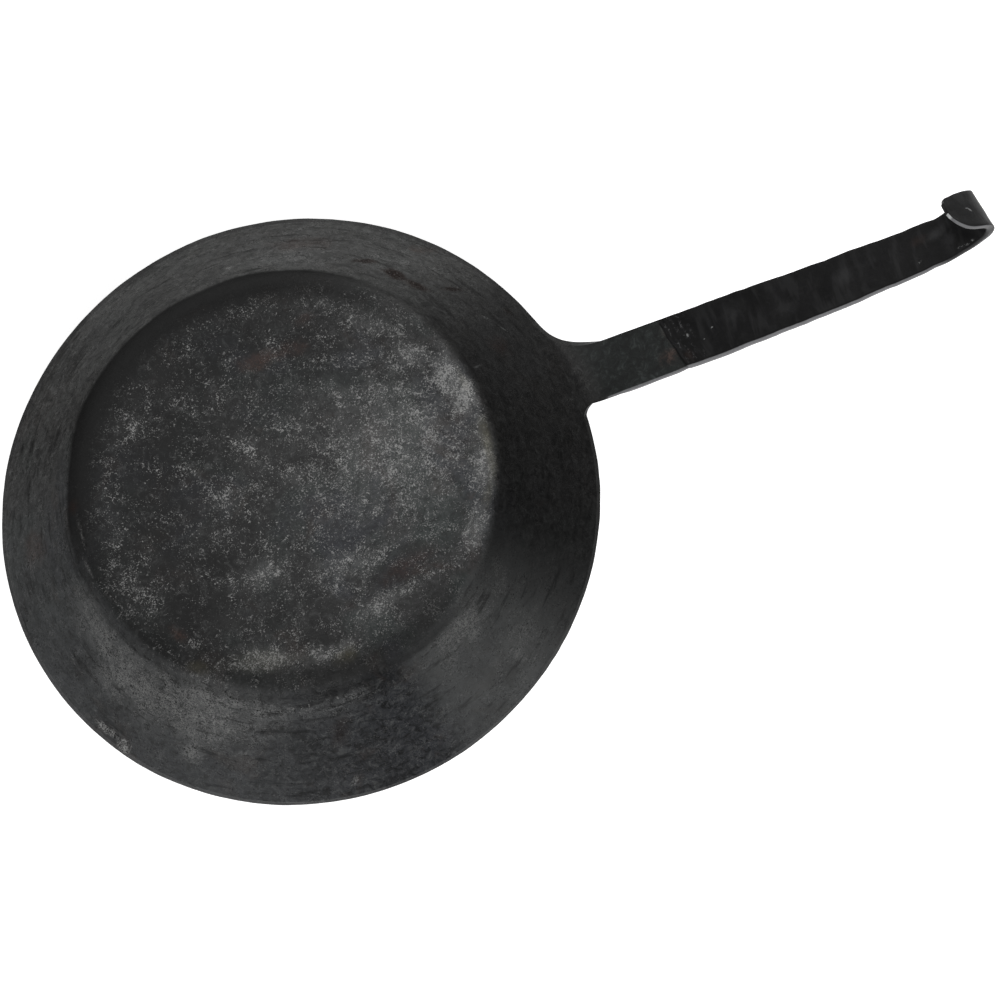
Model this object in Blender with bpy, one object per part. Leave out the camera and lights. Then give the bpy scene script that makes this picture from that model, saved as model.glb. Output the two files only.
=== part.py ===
"""Hand-forged frying pan: a bowl raised from sheet, and a flat-bar handle scarf-welded to its tang.

The pan stands on its base at z = 0, with its round axis on +Z. The handle leaves the rim along +X and
rises. Its bar is twisted, so that its -Y edge is the higher one, and its end curls back as a hook.
Lengths are in metres and angles in degrees.
"""

import math
from collections import namedtuple

import bmesh
import bpy
from mathutils import Matrix, Vector

# Bowl: its inner face, and the sheet's thickness outside that.
RIM_RADIUS = 0.1481
RIM_HEIGHT = 0.0710
FLOOR_RADIUS = 0.110
SHEET = 0.0022
FOOT_BEND_RADIUS = 0.006
FOOT_BEND_STEPS = 3
WALL_STEPS = 3
RIM_STEPS = 72

# Bar: the line of the handle from the rim to the start of the curl.
SHANK_LENGTH = 0.2010
RISE_ROOT, RISE_MIDDLE, RISE_END = 21.0, 22.6, 10.5
HEADING_ROOT, HEADING_END = -0.2, -1.4
BAR_THICKNESS = 0.006
WIDTH_ROOT, WIDTH_MIDDLE, WIDTH_END = 0.0277, 0.0271, 0.0214
TWIST = 24.5
TWIST_AT_CURL = 20.5
TWIST_LENGTH = 0.030
ARRIS = 0.0015
ARRIS_TO_THICKNESS, ARRIS_TO_HALF_WIDTH = 0.3, 0.4
EASED_EDGE_TO_ARRIS = 0.4
SHANK_STEPS = 14
LINE_SLICES = 48

# Tang: the stretch that the bowl's sheet is drawn out into.
ROOT_BEND_LENGTH = 0.014
SAG_LENGTH = 0.030
UPPER_FILLET_ACROSS, UPPER_FILLET_ALONG = 0.021, 0.024
LOWER_NOTCH_ACROSS, LOWER_NOTCH_ALONG = 0.009, 0.010
TANG_COLUMNS = 8
FILLET_ROWS = 7
TANG_ROWS = 5
DRAW_OUT_LENGTH = 0.028

# Curl at the free end.
CURL_LENGTH = 0.036
CURL_ANGLE = 139.0
CURL_RAMP_IN, CURL_RAMP_OUT = 0.55, 0.15
CONE_START, CONE_GAIN = 6.5, 7.5
TONGUE_LENGTH = 0.0140
TIP_THICKNESS = 0.0032
WIDTH_FOLD, WIDTH_TIP = 0.0200, 0.0135
SHIFT_FOLD, SHIFT_TIP = 0.0034, 0.0038
FOLD_PLACE = 0.6
TIP_ROUND_LENGTH = 0.006
TIP_END_TO_WIDTH = 0.42
CURL_STEPS = 22
CURL_SLICES = 8

# Scarf joint between tang and bar.
SEAM_AT = 0.058
SEAM_SKEW = 15.0
SCARF_SLOPE = 33.0
JOINT_GAP = 0.0003
SCARF_CUTTER = Vector((0.064, 0.060, 0.030))
BAR_OVERLAP = 0.014

# Edges that turn by more than this many degrees are drawn sharp.
SHARP_EDGE = 32.0

Frame = namedtuple("Frame", "centre along across up")
UP = Vector((0.0, 0.0, 1.0))


def ease(u):
    """Goes smoothly from 0 to 1 as u does."""
    u = min(max(u, 0.0), 1.0)
    return u * u * (3.0 - 2.0 * u)


def through(u, first, middle, last, middle_at=0.5):
    """The parabola that has these three values at u = 0, middle_at and 1."""
    start = first * (u - middle_at) * (u - 1.0) / middle_at
    mid = middle * u * (u - 1.0) / (middle_at * (middle_at - 1.0))
    end = last * u * (u - middle_at) / (1.0 - middle_at)
    return start + mid + end


def wall_angle():
    """Slope of the bowl's straight wall above its foot bend."""
    return math.degrees(math.atan2(RIM_HEIGHT - SHEET, RIM_RADIUS - FLOOR_RADIUS))


def bar_direction(s):
    """Unit vector along the bar at distance s from the rim."""
    u = s / SHANK_LENGTH
    rise = through(u, RISE_ROOT, RISE_MIDDLE, RISE_END)
    rise += (wall_angle() - RISE_ROOT) * (1.0 - ease(s / ROOT_BEND_LENGTH))
    heading = math.radians(HEADING_ROOT + (HEADING_END - HEADING_ROOT) * u)
    flat = Vector((math.cos(heading), math.sin(heading), 0.0))
    return flat * math.cos(math.radians(rise)) + UP * math.sin(math.radians(rise))


def bar_frame(s):
    """Centre of the bar's upper face at distance s from the rim, with its three directions."""
    centre = Vector((RIM_RADIUS, 0.0, RIM_HEIGHT))
    for k in range(LINE_SLICES):
        centre += bar_direction(s * (k + 0.5) / LINE_SLICES) * (s / LINE_SLICES)
    along = bar_direction(s)
    across = UP.cross(along).normalized()
    u = s / SHANK_LENGTH
    twist = math.radians((TWIST + (TWIST_AT_CURL - TWIST) * u * u) * ease(s / TWIST_LENGTH))
    turn = Matrix.Rotation(-twist, 3, along)
    across = turn @ across
    return Frame(centre, along, across, along.cross(across))


def bar_width(s):
    """The bar's width at distance s from the rim."""
    return through(s / SHANK_LENGTH, WIDTH_ROOT, WIDTH_MIDDLE, WIDTH_END)


def curl_frames():
    """Frames from the end of the shank round the curl to the tip, with each one's distance share."""
    count = CURL_STEPS * CURL_SLICES
    length = CURL_LENGTH + TONGUE_LENGTH
    step = length / count
    bends = []
    for k in range(count):
        s = (k + 0.5) * step / CURL_LENGTH
        bends.append(max(0.0, min(1.0, s / CURL_RAMP_IN, (1.0 - s) / CURL_RAMP_OUT)))
    scale = math.radians(CURL_ANGLE) / sum(bends)
    centre, along, across, up = bar_frame(SHANK_LENGTH)
    found = []
    for k, bend in enumerate(bends):
        cone = math.radians(CONE_START + CONE_GAIN * k / count)
        axis = (up * math.sin(cone) - across * math.cos(cone)).normalized()
        turn = Matrix.Rotation(bend * scale, 3, axis)
        turned = turn @ along
        centre = centre + (along + turned) * (step / 2.0)
        along, across, up = turned, turn @ across, turn @ up
        if (k + 1) % CURL_SLICES == 0:
            found.append(((k + 1) / count, Frame(centre, along, across, up)))
    return found


def bar_section(frame, width, thickness, shift=0.0):
    """The bar's eight corners at a frame: a flat oblong whose upper -Y arris is hammered down."""
    half = width / 2.0
    chamfer = min(ARRIS, thickness * ARRIS_TO_THICKNESS, half * ARRIS_TO_HALF_WIDTH)
    small = chamfer * EASED_EDGE_TO_ARRIS
    corners = (
        (half, -small),
        (half - small, 0.0),
        (-half + chamfer, 0.0),
        (-half, -chamfer),
        (-half, -thickness + small),
        (-half + small, -thickness),
        (half - small, -thickness),
        (half, -thickness + small),
    )
    return [frame.centre + frame.across * (b + shift) + frame.up * n for b, n in corners]


def curl_section(u, frame):
    """The bar's corners at share u of the curl, which narrows to a rounded tip."""
    width = through(u, WIDTH_END, WIDTH_FOLD, WIDTH_TIP, FOLD_PLACE)
    shift = through(u, 0.0, SHIFT_FOLD, SHIFT_TIP, FOLD_PLACE)
    left = (1.0 - u) * (CURL_LENGTH + TONGUE_LENGTH) / TIP_ROUND_LENGTH
    if left < 1.0:
        width *= max(TIP_END_TO_WIDTH, math.sqrt(1.0 - (1.0 - left) ** 2))
    thickness = BAR_THICKNESS + (TIP_THICKNESS - BAR_THICKNESS) * u
    return bar_section(frame, width, thickness, shift)


def new_object(name, bm, material):
    """Makes a mesh object of bm, smooth on its gentle bends and sharp at its arrises."""
    bmesh.ops.recalc_face_normals(bm, faces=bm.faces)
    mesh = bpy.data.meshes.new(name)
    bm.to_mesh(mesh)
    bm.free()
    mesh.shade_smooth()
    mesh.set_sharp_from_angle(angle=math.radians(SHARP_EDGE))
    mesh.materials.append(material)
    obj = bpy.data.objects.new(name, mesh)
    bpy.context.collection.objects.link(obj)
    return obj


def iron(name, colour, roughness, metallic):
    """A Principled BSDF of dark seasoned iron."""
    material = bpy.data.materials.new(name)
    material.use_nodes = True
    shader = material.node_tree.nodes["Principled BSDF"]
    shader.inputs["Base Color"].default_value = (*colour, 1.0)
    shader.inputs["Roughness"].default_value = roughness
    shader.inputs["Metallic"].default_value = metallic
    return material


def bowl_profile():
    """Inner face of the bowl, from the edge of the flat floor to the rim, as (radius, height, slope)."""
    slope = math.radians(wall_angle())
    setback = FOOT_BEND_RADIUS * math.tan(slope / 2.0)
    points = []
    for k in range(FOOT_BEND_STEPS + 1):
        turn = slope * k / FOOT_BEND_STEPS
        radius = FLOOR_RADIUS - setback + FOOT_BEND_RADIUS * math.sin(turn)
        points.append((radius, SHEET + FOOT_BEND_RADIUS * (1.0 - math.cos(turn)), turn))
    foot_radius, foot_height, _ = points[-1]
    for k in range(1, WALL_STEPS + 1):
        u = k / WALL_STEPS
        radius = foot_radius + (RIM_RADIUS - foot_radius) * u
        points.append((radius, foot_height + (RIM_HEIGHT - foot_height) * u, slope))
    return points


def fillet(s, across, along):
    """How far a concave corner of this size still stands out at distance s."""
    lag = max(0.0, 1.0 - s / along)
    return across * (1.0 - math.sqrt(1.0 - lag * lag))


def tang_edges(s):
    """Distances across, from the bar's line, of the tang's -Y and +Y edges at distance s."""
    half = bar_width(s) / 2.0
    lower = -half - fillet(s, LOWER_NOTCH_ACROSS, LOWER_NOTCH_ALONG)
    upper = half + fillet(s, UPPER_FILLET_ACROSS, UPPER_FILLET_ALONG)
    return lower, upper


def tang_point(s, t):
    """A point of the tang's upper face, and the one through the plate from it.

    At s = 0 the row of points is the rim itself. Its arc straightens out as s grows.
    """
    frame = bar_frame(s)
    sag = RIM_RADIUS - math.sqrt(RIM_RADIUS**2 - t * t)
    still_rim = 1.0 - ease(s / SAG_LENGTH)
    above = frame.centre + frame.across * t - frame.along * (sag * still_rim)
    rim_normal = wall_normal(math.asin(t / RIM_RADIUS), math.radians(wall_angle()))
    normal = (rim_normal * still_rim + frame.up * (1.0 - still_rim)).normalized()
    plate = SHEET + (BAR_THICKNESS - SHEET) * ease(s / DRAW_OUT_LENGTH)
    return above, above - normal * plate


def tang_rows():
    """Rows of point pairs from just past the rim to the tang's end, which is beyond the scarf."""
    end = SEAM_AT + BAR_OVERLAP
    stations = []
    for k in range(1, FILLET_ROWS + 1):
        stations.append(UPPER_FILLET_ALONG * (1.0 - math.cos(math.pi / 2.0 * k / FILLET_ROWS)))
    for k in range(1, TANG_ROWS + 1):
        stations.append(UPPER_FILLET_ALONG + (end - UPPER_FILLET_ALONG) * k / TANG_ROWS)
    rows = []
    for s in stations:
        lower, upper = tang_edges(s)
        spread = [lower + (upper - lower) * k / TANG_COLUMNS for k in range(TANG_COLUMNS + 1)]
        rows.append([tang_point(s, t) for t in spread])
    return rows


def rim_angles():
    """Angles of the bowl's columns: the tang's own columns first, then even steps round the rest."""
    lower, upper = tang_edges(0.0)
    angles = []
    for k in range(TANG_COLUMNS + 1):
        angles.append(math.asin((lower + (upper - lower) * k / TANG_COLUMNS) / RIM_RADIUS))
    first, last = angles[0], angles[-1]
    rest = first + 2.0 * math.pi - last
    for k in range(1, RIM_STEPS):
        angles.append(last + rest * k / RIM_STEPS)
    return angles


def wall_normal(angle, slope):
    """Direction in which the bowl's inner face looks, at an angle round it and a slope of its wall."""
    inward = Vector((-math.cos(angle), -math.sin(angle), 0.0))
    return inward * math.sin(slope) + UP * math.cos(slope)


def make_pan_body(material):
    """Bowl and tang as one sheet: its upper face, the same face below, and the edge between them."""
    bm = bmesh.new()
    below = {}

    def add_pair(above, under):
        vert = bm.verts.new(above)
        below[vert] = bm.verts.new(under)
        return vert

    angles = rim_angles()
    rings = []
    for radius, height, slope in bowl_profile():
        ring = []
        for a in angles:
            above = Vector((radius * math.cos(a), radius * math.sin(a), height))
            ring.append(add_pair(above, above - wall_normal(a, slope) * SHEET))
        rings.append(ring)
    bm.faces.new(rings[0])
    for inner, outer in zip(rings, rings[1:]):
        for k in range(len(angles)):
            n = (k + 1) % len(angles)
            bm.faces.new((inner[k], outer[k], outer[n], inner[n]))
    row = rings[-1][: TANG_COLUMNS + 1]
    for points in tang_rows():
        fresh = [add_pair(above, under) for above, under in points]
        for k in range(TANG_COLUMNS):
            bm.faces.new((row[k], fresh[k], fresh[k + 1], row[k + 1]))
        row = fresh
    border = [edge.verts[:] for edge in bm.edges if edge.is_boundary]
    for face in list(bm.faces):
        bm.faces.new([below[vert] for vert in reversed(face.verts)])
    for one, other in border:
        bm.faces.new((one, other, below[other], below[one]))
    return new_object("pan_body", bm, material)


def make_handle_bar(material):
    """Flat bar from under the scarf to the tip of the hook, lofted through its sections."""
    bm = bmesh.new()
    start = SEAM_AT - BAR_OVERLAP / 2.0
    loops = []
    for k in range(SHANK_STEPS + 1):
        s = start + (SHANK_LENGTH - start) * k / SHANK_STEPS
        corners = bar_section(bar_frame(s), bar_width(s), BAR_THICKNESS)
        loops.append([bm.verts.new(p) for p in corners])
    for u, frame in curl_frames():
        loops.append([bm.verts.new(p) for p in curl_section(u, frame)])
    for near, far in zip(loops, loops[1:]):
        for k in range(len(near)):
            n = (k + 1) % len(near)
            bm.faces.new((near[k], far[k], far[n], near[n]))
    bm.faces.new(loops[0])
    bm.faces.new(loops[-1])
    return new_object("handle_bar", bm, material)


def scarf_cutter(name, side, gap):
    """A box whose face lies on the scarf: side 1 fills the space above it, side -1 the space below.

    The scarf crosses the bar askew on the upper face, and slopes down away from the bowl.
    """
    frame = bar_frame(SEAM_AT)
    skew = Matrix.Rotation(math.radians(SEAM_SKEW), 3, frame.up)
    across = skew @ frame.across
    down_along = Matrix.Rotation(math.radians(SCARF_SLOPE), 3, across) @ (skew @ frame.along)
    normal = down_along.cross(across)
    bm = bmesh.new()
    bmesh.ops.create_cube(bm, size=1.0)
    bmesh.ops.scale(bm, vec=SCARF_CUTTER, verts=bm.verts)
    bmesh.ops.translate(bm, vec=(0.0, 0.0, side * (SCARF_CUTTER.z / 2.0 + gap)), verts=bm.verts)
    axes = Matrix((down_along, across, normal)).transposed().to_4x4()
    bmesh.ops.transform(bm, matrix=Matrix.Translation(frame.centre) @ axes, verts=bm.verts)
    mesh = bpy.data.meshes.new(name)
    bmesh.ops.recalc_face_normals(bm, faces=bm.faces)
    bm.to_mesh(mesh)
    bm.free()
    cutter = bpy.data.objects.new(name, mesh)
    bpy.context.collection.objects.link(cutter)
    cutter.hide_render = True
    cutter.display_type = "WIRE"
    return cutter


def cut(obj, cutter):
    """Takes the cutter's space away from obj."""
    scarf = obj.modifiers.new("scarf", "BOOLEAN")
    scarf.operation = "DIFFERENCE"
    scarf.object = cutter


def main():
    for obj in list(bpy.data.objects):
        bpy.data.objects.remove(obj)
    pan_iron = iron("seasoned_iron", (0.045, 0.046, 0.047), 0.45, 0.75)
    bar_iron = iron("forge_scale_black", (0.022, 0.022, 0.023), 0.55, 0.60)
    pan_body = make_pan_body(pan_iron)
    handle_bar = make_handle_bar(bar_iron)
    cut(pan_body, scarf_cutter("cutter_above_scarf", 1.0, 0.0))
    cut(handle_bar, scarf_cutter("cutter_below_scarf", -1.0, -JOINT_GAP))


main()
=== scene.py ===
"""Looks of a hand-forged iron frying pan: its raised bowl, its hammered handle bar, their finishes and a studio.

The pan stands at z = 0 with its round axis on +Z, and its handle leaves the rim along +X. Both pieces start as
flat blanks, are worked with Blender's modelling operators, and are then raised or bent to shape as a smith would.
Lengths are in metres and angles in degrees.
"""

from __future__ import annotations

import logging
import math
from dataclasses import dataclass, field
from enum import Enum
from typing import Callable, Mapping, Optional, Sequence, Union

import bmesh
import bpy
import numpy as np
from mathutils import Matrix, Vector, noise


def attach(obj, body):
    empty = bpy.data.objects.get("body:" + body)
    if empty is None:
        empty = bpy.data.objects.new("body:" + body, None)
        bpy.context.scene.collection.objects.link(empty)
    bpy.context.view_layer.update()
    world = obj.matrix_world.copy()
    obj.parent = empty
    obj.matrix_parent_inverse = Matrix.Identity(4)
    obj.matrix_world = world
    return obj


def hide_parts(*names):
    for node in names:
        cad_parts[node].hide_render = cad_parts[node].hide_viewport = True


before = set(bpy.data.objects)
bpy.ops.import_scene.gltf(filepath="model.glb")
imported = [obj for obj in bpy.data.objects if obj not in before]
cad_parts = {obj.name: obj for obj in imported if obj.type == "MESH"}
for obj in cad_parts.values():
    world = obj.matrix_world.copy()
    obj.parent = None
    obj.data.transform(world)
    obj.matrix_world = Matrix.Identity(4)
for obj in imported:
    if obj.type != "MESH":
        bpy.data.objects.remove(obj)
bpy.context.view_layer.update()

LOG = logging.getLogger("forged_pan")
UP = Vector((0.0, 0.0, 1.0))
RIM_RADIUS = 0.1481
RIM_HEIGHT = 0.0710
MM = 1000.0
MARK_REACH = 1.6


def ease(u: float) -> float:
    """Goes smoothly from 0 to 1 as u does."""
    u = min(max(u, 0.0), 1.0)
    return u * u * (3.0 - 2.0 * u)


def through(u: float, first: float, middle: float, last: float, middle_at: float = 0.5) -> float:
    """Follow the parabola that has three given values.

    Args:
        u: Place between the first value, at 0, and the last, at 1.
        first: Value at 0.
        middle: Value at middle_at.
        last: Value at 1.
        middle_at: Place of the middle value.

    Returns:
        The parabola's value at u.
    """
    start = first * (u - middle_at) * (u - 1.0) / middle_at
    mid = middle * u * (u - 1.0) / (middle_at * (middle_at - 1.0))
    end = last * u * (u - middle_at) / (1.0 - middle_at)
    return start + mid + end


def lump(x: float, y: float, seed: float) -> float:
    """Smooth noise from about -1 to 1 over a plane, a different one for each seed."""
    return noise.noise(Vector((x, y, seed)))


# ---------------------------------------------------------------------------------------------------------------
# Shader maths
# ---------------------------------------------------------------------------------------------------------------


class Signal:
    """A shader value that Python's operators combine through Math nodes."""

    def __init__(self, bench: "Bench", socket: bpy.types.NodeSocket) -> None:
        """Wraps an output socket of a node on the bench."""
        self.bench = bench
        self.socket = socket

    def _join(self, operation: str, first: "Value", second: "Value") -> "Signal":
        """Adds the Math node of one operation on two values."""
        node = self.bench.node("ShaderNodeMath", {"operation": operation}, {0: first, 1: second})
        return Signal(self.bench, node.outputs[0])

    def __add__(self, other: "Value") -> "Signal":
        """Adds."""
        return self._join("ADD", self, other)

    def __radd__(self, other: "Value") -> "Signal":
        """Adds."""
        return self._join("ADD", other, self)

    def __sub__(self, other: "Value") -> "Signal":
        """Subtracts."""
        return self._join("SUBTRACT", self, other)

    def __rsub__(self, other: "Value") -> "Signal":
        """Subtracts from a number."""
        return self._join("SUBTRACT", other, self)

    def __mul__(self, other: "Value") -> "Signal":
        """Multiplies."""
        return self._join("MULTIPLY", self, other)

    def __rmul__(self, other: "Value") -> "Signal":
        """Multiplies."""
        return self._join("MULTIPLY", other, self)

    def __truediv__(self, other: "Value") -> "Signal":
        """Divides."""
        return self._join("DIVIDE", self, other)

    def most(self, other: "Value") -> "Signal":
        """The larger of two values."""
        return self._join("MAXIMUM", self, other)

    def least(self, other: "Value") -> "Signal":
        """The smaller of two values."""
        return self._join("MINIMUM", self, other)

    def rise(self, low: float, high: float) -> "Signal":
        """Goes smoothly from 0 at low to 1 at high, or the other way where high is the lower number."""
        return self.bench.ramp(self, low, high, 0.0, 1.0)


Value = Union[Signal, float, Sequence[float]]


@dataclass(frozen=True)
class Patch:
    """A soft-edged oval place on the pan, seen in plan.

    Attributes:
        x: Middle, in mm.
        y: Middle, in mm.
        long: Half length, in mm.
        wide: Half width, in mm.
        turn: Direction of the length from +X, in degrees.
        strength: The mask's value in the middle.
        soft: Share of the radius over which the mask fades.
        ragged: How far noise moves the edge, as a share of the radius.
    """

    x: float
    y: float
    long: float
    wide: float
    turn: float = 0.0
    strength: float = 1.0
    soft: float = 0.9
    ragged: float = 0.5


class Bench:
    """Puts nodes on one material's node tree."""

    def __init__(self, name: str) -> None:
        """Makes a new material with only its output."""
        self.material = bpy.data.materials.new(name)
        self.material.use_nodes = True
        self.tree = self.material.node_tree
        self.tree.nodes.clear()
        self.output = self.tree.nodes.new("ShaderNodeOutputMaterial")
        coordinates = self.node("ShaderNodeTexCoord", {}, {})
        self.place = Signal(self, coordinates.outputs["Object"])
        self.plan = self.vector("MULTIPLY", self.place, (1.0, 1.0, 0.0))
        self.radius = self.length(self.plan)

    def node(
        self, kind: str, settings: Mapping[str, object], inputs: Mapping[Union[int, str], Optional[Value]]
    ) -> bpy.types.Node:
        """Add a node.

        Args:
            kind: The node's type.
            settings: Its properties, which are set first.
            inputs: For each input, by name or number, a Signal to link or a value to set.

        Returns:
            The node.
        """
        node = self.tree.nodes.new(kind)
        for key, setting in settings.items():
            setattr(node, key, setting)
        for key, value in inputs.items():
            if isinstance(value, Signal):
                self.tree.links.new(value.socket, node.inputs[key])
            elif value is not None:
                node.inputs[key].default_value = value
        return node

    def vector(self, operation: str, first: Value, second: Value) -> Signal:
        """Joins two vectors by a Vector Math node."""
        node = self.node("ShaderNodeVectorMath", {"operation": operation}, {0: first, 1: second})
        return Signal(self, node.outputs[0])

    def length(self, vector: Signal) -> Signal:
        """The length of a vector."""
        node = self.node("ShaderNodeVectorMath", {"operation": "LENGTH"}, {0: vector})
        return Signal(self, node.outputs["Value"])

    def ramp(self, value: Signal, low: float, high: float, at_low: float, at_high: float) -> Signal:
        """Smooth step of a value between two levels."""
        node = self.node(
            "ShaderNodeMapRange",
            {"interpolation_type": "SMOOTHSTEP"},
            {"Value": value, "From Min": low, "From Max": high, "To Min": at_low, "To Max": at_high},
        )
        return Signal(self, node.outputs["Result"])

    def toward(self, bearing: float, vector: Optional[Signal] = None) -> Signal:
        """Share of a vector, or of the place in plan, that points in one direction round the pan."""
        a = math.radians(bearing)
        way = (math.cos(a), math.sin(a), 0.0)
        node = self.node("ShaderNodeVectorMath", {"operation": "DOT_PRODUCT"}, {0: vector or self.plan, 1: way})
        return Signal(self, node.outputs["Value"])

    def side(self, bearing: float) -> Signal:
        """Cosine of the angle between a point's bearing round the pan and a given one."""
        return self.toward(bearing, self.outward())

    def outward(self) -> Signal:
        """Unit vector in plan from the pan's axis to the point."""
        return self.vector("NORMALIZE", self.plan, (0.0, 0.0, 0.0))

    def noted(self, name: str) -> tuple[Signal, Signal, Signal, Signal]:
        """A vector attribute of the mesh, whole and as its three numbers."""
        note = self.node("ShaderNodeAttribute", {"attribute_name": name}, {})
        whole = Signal(self, note.outputs["Vector"])
        node = self.node("ShaderNodeSeparateXYZ", {}, {"Vector": whole})
        return whole, *(Signal(self, node.outputs[axis]) for axis in "XYZ")

    def stain(self, name: str, edge: Signal, ragged: float) -> Signal:
        """Mask of the places that the mesh keeps under a name.

        Args:
            name: The attribute's name.
            edge: Noise about 0 that makes the outlines ragged.
            ragged: How far the noise moves an outline, as a share of the place's size.

        Returns:
            The mask, from 0 to the place's strength.
        """
        _, reach, strength, soft = self.noted(name)
        return ((1.0 - reach - edge * ragged) / soft).rise(0.0, 1.0) * strength

    def stretched(self, vector: Signal, size: Sequence[float], turn: float, at: Sequence[float]) -> Signal:
        """Coordinates in which an oval of this size, turned about Z and centred at a place, is a unit circle."""
        node = self.node(
            "ShaderNodeMapping",
            {"vector_type": "TEXTURE"},
            {"Vector": vector, "Location": at, "Rotation": (0.0, 0.0, math.radians(turn)), "Scale": size},
        )
        return Signal(self, node.outputs["Vector"])

    def grain(
        self, per_metre: float, detail: float, rough: float, twist: float = 0.0, vector: Optional[Signal] = None
    ) -> Signal:
        """Fractal noise from 0 to 1, with this many lumps to the metre.

        Args:
            per_metre: Lumps to the metre.
            detail: How many finer layers lie over the lumps.
            rough: How strong the finer layers are.
            twist: How far the noise is pulled about.
            vector: Coordinates that it reads, where they aren't the object's own.

        Returns:
            The noise.
        """
        inputs = {"Vector": vector or self.place, "Scale": per_metre}
        inputs.update({"Detail": detail, "Roughness": rough, "Distortion": twist})
        return Signal(self, self.node("ShaderNodeTexNoise", {}, inputs).outputs["Fac"])

    def swirl(self, around: float, outwards: float) -> Signal:
        """Coordinates for streaks that run round the pan's axis, with no seam."""
        flat = self.vector("MULTIPLY", self.outward(), (around, around, 0.0))
        rise = self.node("ShaderNodeCombineXYZ", {}, {"Z": self.radius * outwards})
        return self.vector("ADD", flat, Signal(self, rise.outputs[0]))

    def mix(self, share: Value, one: Value, other: Value) -> Signal:
        """Colour that goes from one to the other as share goes from 0 to 1."""
        node = self.node("ShaderNodeMix", {"data_type": "RGBA"}, {0: share, 6: one, 7: other})
        return Signal(self, node.outputs[2])

    def patches(self, spots: Sequence[Patch], edge: Signal) -> Signal:
        """Mask of several soft-edged places.

        Args:
            spots: The places.
            edge: Noise about 0 that makes their outlines ragged.

        Returns:
            The mask, the strongest place winning.
        """
        total: Optional[Signal] = None
        for spot in spots:
            size = (spot.long / MM, spot.wide / MM, 1.0)
            at = (spot.x / MM, spot.y / MM, 0.0)
            reach = self.length(self.stretched(self.plan, size, spot.turn, at)) + edge * spot.ragged
            mask = self.ramp(reach, 1.0, 1.0 - spot.soft, 0.0, spot.strength)
            total = mask if total is None else total.most(mask)
        return total

    def surface(self, fixed: Mapping[str, Value], varied: Mapping[str, Value]) -> bpy.types.Material:
        """Finish the material with one Principled BSDF.

        Args:
            fixed: Inputs that are the same all over.
            varied: Inputs that nodes feed.

        Returns:
            The material.
        """
        shader = self.node("ShaderNodeBsdfPrincipled", {}, {**fixed, **varied})
        self.tree.links.new(shader.outputs[0], self.output.inputs["Surface"])
        return self.material

    def bump(self, height: Signal, depth: float, under: Optional[Signal] = None) -> Signal:
        """Normal of a relief whose height of 1 stands for a depth in metres."""
        node = self.node("ShaderNodeBump", {}, {"Height": height, "Distance": depth, "Strength": 1.0, "Normal": under})
        return Signal(self, node.outputs["Normal"])


# ---------------------------------------------------------------------------------------------------------------
# Finishes
# ---------------------------------------------------------------------------------------------------------------

Colour = tuple[float, float, float, float]
WHITE: Colour = (1.0, 1.0, 1.0, 1.0)


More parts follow.
